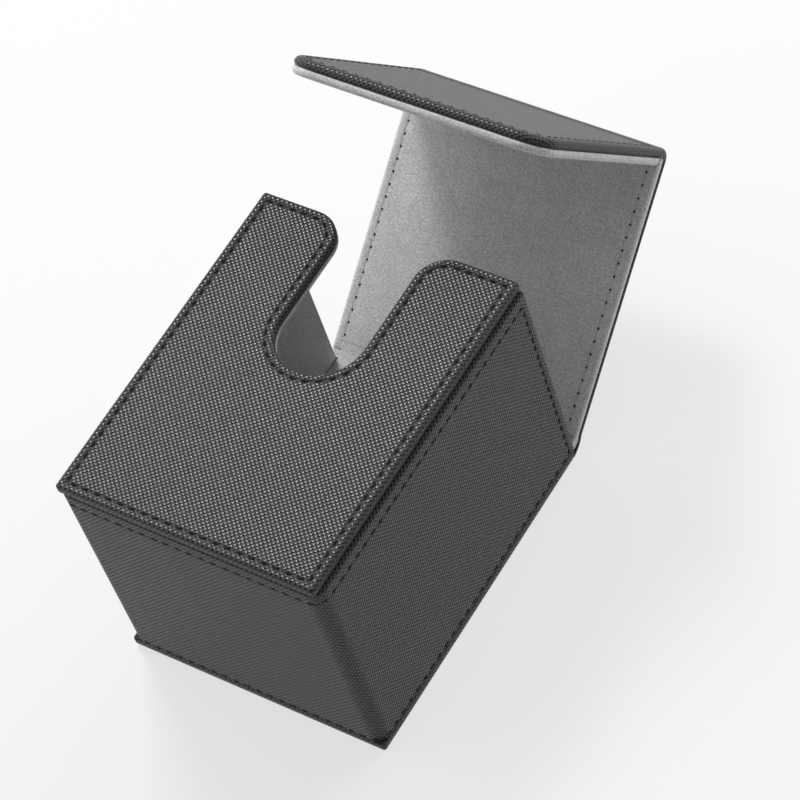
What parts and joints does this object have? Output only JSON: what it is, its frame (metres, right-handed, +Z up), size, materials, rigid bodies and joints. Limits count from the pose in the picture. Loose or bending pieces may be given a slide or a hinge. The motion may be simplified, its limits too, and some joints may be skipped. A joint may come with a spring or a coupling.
{
  "type": "card deck box",
  "caption": "Flip-lid card deck box in woven-grain leatherette, lined in suede, with a thumb notch, magnets and a loose card separator board.",
  "frame": {"origin": "middle of the face the box lies on, the outside of its back", "axes": "+Z up from the resting face, along the box's depth towards the notched front panel; +Y along the box's height towards the open end and the lid; +X across its width"},
  "size_m": [0.0826, 0.1722, 0.1093],
  "materials": {
    "woven_leatherette": "satin, woven-grain embossed",
    "grey_suede": "matte microfibre suede",
    "greyboard": "matte pressed board",
    "magnet": "plated",
    "black_thread": "matte polyester thread",
    "black_plastic": "fine matte"
  },
  "bodies": {
    "box": {"back_cover": "woven_leatherette", "back_board": "greyboard", "back_lining": "grey_suede", "body_cover": "woven_leatherette", "body_lining": "grey_suede", "left_board": "greyboard", "right_board": "greyboard", "bottom_board": "greyboard", "front_cover": "woven_leatherette", "front_board": "greyboard", "front_lining": "grey_suede", "front_magnet_left": "magnet", "front_magnet_right": "magnet", "front_stitching": "black_thread", "body_stitching": "black_thread", "hinge_cover": "woven_leatherette", "hinge_lining": "grey_suede"},
    "lid_top": {"top_cover": "woven_leatherette", "top_board": "greyboard", "top_inner_board": "greyboard", "top_lining": "grey_suede", "top_stitching_left_outer": "black_thread", "top_stitching_left_inner": "black_thread", "top_stitching_right_outer": "black_thread", "top_stitching_right_inner": "black_thread", "fold_cover": "woven_leatherette"},
    "lid_flap": {"flap_cover": "woven_leatherette", "flap_board": "greyboard", "flap_inner_board": "greyboard", "flap_lining": "grey_suede", "flap_stitching_outer": "black_thread", "flap_stitching_inner": "black_thread", "flap_magnet_left": "magnet", "flap_magnet_right": "magnet"},
    "separator": {"separator_board": "black_plastic"}
  },
  "joints": [
    {"name": "lid_hinge", "type": "hinge", "parent": "box", "child": "lid_top", "pos_m": [0, 0.0522, 0.0036], "axis": [-1, 0, 0], "range_deg": [-53.4, 35], "deforming": ["hinge_cover", "hinge_lining"]},
    {"name": "flap_fold", "type": "hinge", "parent": "lid_top", "child": "lid_flap", "pos_m": [0, 0.11999, 0.05014], "axis": [-1, 0, 0], "range_deg": [0, 92], "deforming": ["fold_cover"]},
    {"name": "separator_slide", "type": "slide", "parent": "box", "child": "separator", "axis": [0, 0, 1], "range_m": [0, 0.069]}
  ]
}
